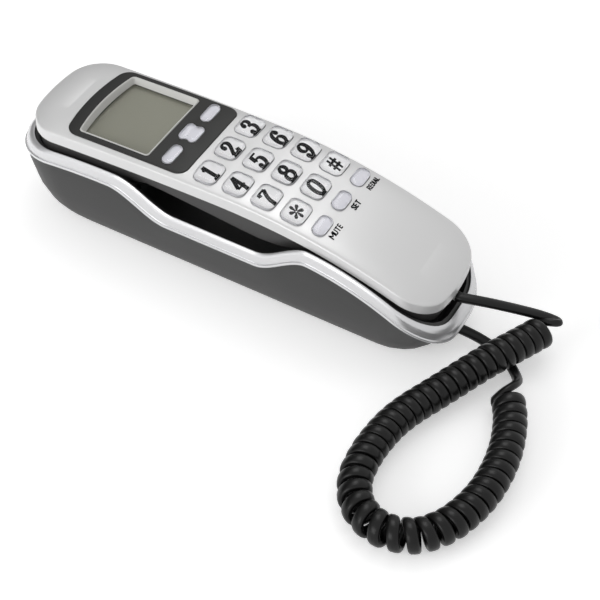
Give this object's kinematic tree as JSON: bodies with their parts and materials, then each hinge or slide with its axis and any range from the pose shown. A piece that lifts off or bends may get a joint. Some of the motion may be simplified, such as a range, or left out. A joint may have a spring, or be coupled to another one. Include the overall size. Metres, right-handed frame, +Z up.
{
  "type": "corded landline phone",
  "caption": "Corded telephone with a slim handset that carries the keypad and display, lying in a boat-shaped desk base with a silver rim, and a curly cord between the two",
  "frame": {"origin": "centre of the base on the surface it stands on, the cord left out", "axes": "+X runs along the phone to the cord end, +Z is up, and +Y is the side of the keys 3, 6 and 9"},
  "size_m": [0.2596, 0.1443, 0.0572],
  "materials": {
    "silver": "satin silver paint on plastic",
    "band_silver": "satin silver paint on plastic",
    "dark_shell": "fine matt black plastic",
    "hull_grey": "fine matt dark grey plastic",
    "cradle_black": "matt black plastic",
    "panel": "dark grey satin panel",
    "frame_light": "light grey plastic",
    "lens": "clear window",
    "lcd": "grey green display glass",
    "key_clear": "milky clear plastic",
    "key_grey": "milky grey plastic",
    "mat": "silicone rubber",
    "board": "green circuit board",
    "part_black": "moulded black plastic",
    "speaker": "speaker with metal frame",
    "screw_steel": "zinc plated steel",
    "plug_clear": "clear plug plastic",
    "feet": "soft black rubber",
    "cord_black": "soft black cord jacket"
  },
  "bodies": {
    "base": {"base_shell": "hull_grey", "cradle": "cradle_black", "silver_band": "band_silver", "hook_switch": "part_black", "base_board": "board", "ringer": "part_black", "base_handset_jack": "part_black", "line_jack": "part_black", "rubber_feet": "feet", "base_screws": "screw_steel", "base_plug": "plug_clear", "curly_cord": "cord_black", "handset_lead": "cord_black", "base_lead": "cord_black"},
    "handset": {"handset_top_shell": "silver", "handset_bottom_shell": "dark_shell", "display_panel": "panel", "display_frame": "frame_light", "display_lens": "lens", "lcd_module": "lcd", "keypad_mat": "mat", "main_board": "board", "earpiece_speaker": "speaker", "microphone": "part_black", "handset_jack": "part_black", "handset_screws": "screw_steel", "handset_plug": "plug_clear"},
    "hook": {"hook_plunger": "cradle_black"},
    "key_1_body": {"key_1": "key_clear"},
    "key_2_body": {"key_2": "key_clear"},
    "key_3_body": {"key_3": "key_clear"},
    "key_4_body": {"key_4": "key_clear"},
    "key_5_body": {"key_5": "key_clear"},
    "key_6_body": {"key_6": "key_clear"},
    "key_7_body": {"key_7": "key_clear"},
    "key_8_body": {"key_8": "key_clear"},
    "key_9_body": {"key_9": "key_clear"},
    "key_star_body": {"key_star": "key_clear"},
    "key_0_body": {"key_0": "key_clear"},
    "key_hash_body": {"key_hash": "key_clear"},
    "mute_key_body": {"mute_key": "key_grey"},
    "set_key_body": {"set_key": "key_grey"},
    "redial_key_body": {"redial_key": "key_grey"},
    "down_key_body": {"down_key": "key_grey"},
    "menu_key_body": {"menu_key": "key_grey"},
    "up_key_body": {"up_key": "key_grey"}
  },
  "joints": [
    {"name": "handset_lift", "type": "slide", "parent": "base", "child": "handset", "axis": [0, 0, 1], "range_m": [0, 0.06], "deforming": ["handset_lead"]},
    {"name": "hook_rise", "type": "slide", "parent": "base", "child": "hook", "axis": [0, 0, 1], "range_m": [0, 0.004]},
    {"name": "key_1_press", "type": "slide", "parent": "handset", "child": "key_1_body", "axis": [0.0059, 0, -1], "range_m": [0, 0.001], "stiffness_N_per_m": 400, "springref_m": -0.0003},
    {"name": "key_2_press", "type": "slide", "parent": "handset", "child": "key_2_body", "axis": [0.0059, 0, -1], "range_m": [0, 0.001], "stiffness_N_per_m": 400, "springref_m": -0.0003},
    {"name": "key_3_press", "type": "slide", "parent": "handset", "child": "key_3_body", "axis": [0.0059, 0, -1], "range_m": [0, 0.001], "stiffness_N_per_m": 400, "springref_m": -0.0003},
    {"name": "key_4_press", "type": "slide", "parent": "handset", "child": "key_4_body", "axis": [-0.0194, 0, -0.9998], "range_m": [0, 0.001], "stiffness_N_per_m": 400, "springref_m": -0.0003},
    {"name": "key_5_press", "type": "slide", "parent": "handset", "child": "key_5_body", "axis": [-0.0194, 0, -0.9998], "range_m": [0, 0.001], "stiffness_N_per_m": 400, "springref_m": -0.0003},
    {"name": "key_6_press", "type": "slide", "parent": "handset", "child": "key_6_body", "axis": [-0.0194, 0, -0.9998], "range_m": [0, 0.001], "stiffness_N_per_m": 400, "springref_m": -0.0003},
    {"name": "key_7_press", "type": "slide", "parent": "handset", "child": "key_7_body", "axis": [-0.076, 0, -0.9971], "range_m": [0, 0.001], "stiffness_N_per_m": 400, "springref_m": -0.0003},
    {"name": "key_8_press", "type": "slide", "parent": "handset", "child": "key_8_body", "axis": [-0.076, 0, -0.9971], "range_m": [0, 0.001], "stiffness_N_per_m": 400, "springref_m": -0.0003},
    {"name": "key_9_press", "type": "slide", "parent": "handset", "child": "key_9_body", "axis": [-0.076, 0, -0.9971], "range_m": [0, 0.001], "stiffness_N_per_m": 400, "springref_m": -0.0003},
    {"name": "key_star_press", "type": "slide", "parent": "handset", "child": "key_star_body", "axis": [-0.132, 0, -0.9913], "range_m": [0, 0.001], "stiffness_N_per_m": 400, "springref_m": -0.0003},
    {"name": "key_0_press", "type": "slide", "parent": "handset", "child": "key_0_body", "axis": [-0.132, 0, -0.9913], "range_m": [0, 0.001], "stiffness_N_per_m": 400, "springref_m": -0.0003},
    {"name": "key_hash_press", "type": "slide", "parent": "handset", "child": "key_hash_body", "axis": [-0.132, 0, -0.9913], "range_m": [0, 0.001], "stiffness_N_per_m": 400, "springref_m": -0.0003},
    {"name": "mute_key_press", "type": "slide", "parent": "handset", "child": "mute_key_body", "axis": [-0.1807, 0, -0.9835], "range_m": [0, 0.001], "stiffness_N_per_m": 400, "springref_m": -0.0003},
    {"name": "set_key_press", "type": "slide", "parent": "handset", "child": "set_key_body", "axis": [-0.1807, 0, -0.9835], "range_m": [0, 0.001], "stiffness_N_per_m": 400, "springref_m": -0.0003},
    {"name": "redial_key_press", "type": "slide", "parent": "handset", "child": "redial_key_body", "axis": [-0.1807, 0, -0.9835], "range_m": [0, 0.001], "stiffness_N_per_m": 400, "springref_m": -0.0003},
    {"name": "down_key_press", "type": "slide", "parent": "handset", "child": "down_key_body", "axis": [0.0183, 0, -0.9998], "range_m": [0, 0.001], "stiffness_N_per_m": 400, "springref_m": -0.0003},
    {"name": "menu_key_press", "type": "slide", "parent": "handset", "child": "menu_key_body", "axis": [0.0183, 0, -0.9998], "range_m": [0, 0.001], "stiffness_N_per_m": 400, "springref_m": -0.0003},
    {"name": "up_key_press", "type": "slide", "parent": "handset", "child": "up_key_body", "axis": [0.0183, 0, -0.9998], "range_m": [0, 0.001], "stiffness_N_per_m": 400, "springref_m": -0.0003}
  ],
  "couplings": [
    {"joint": "hook_rise", "follows": "handset_lift", "ratio": 0.0665}
  ]
}
